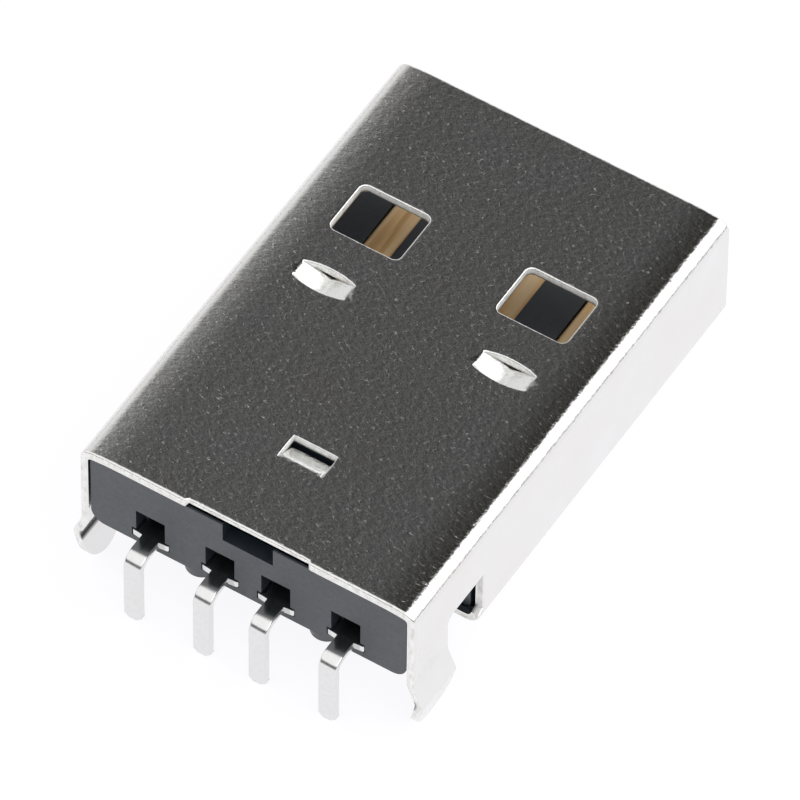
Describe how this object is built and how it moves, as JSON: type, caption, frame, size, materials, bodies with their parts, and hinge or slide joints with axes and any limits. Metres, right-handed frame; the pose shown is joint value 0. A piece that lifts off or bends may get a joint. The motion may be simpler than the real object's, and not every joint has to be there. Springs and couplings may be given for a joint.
{
  "type": "usb type a plug, right-angle mid-mount",
  "caption": "Right-angle USB type A plug for a board edge: folded steel shell sunk past the board, moulded tongue, bent contacts with solder tails, locating posts and clip legs.",
  "frame": {"origin": "on the board's top face, which is the housing's underside, midway between the two locating posts", "axes": "+X across the plug, +Y towards the mating end, +Z away from the board"},
  "size_m": [0.0126, 0.019, 0.0058],
  "materials": {
    "shell": "nickel-plated rolled steel sheet",
    "housing": "black moulded thermoplastic",
    "contacts": "gold flash on the mating strip, tin on the tail"
  },
  "bodies": {
    "root": {"shell": "shell", "housing": "housing", "contact_1": "contacts", "contact_2": "contacts", "contact_3": "contacts", "contact_4": "contacts"}
  },
  "joints": []
}
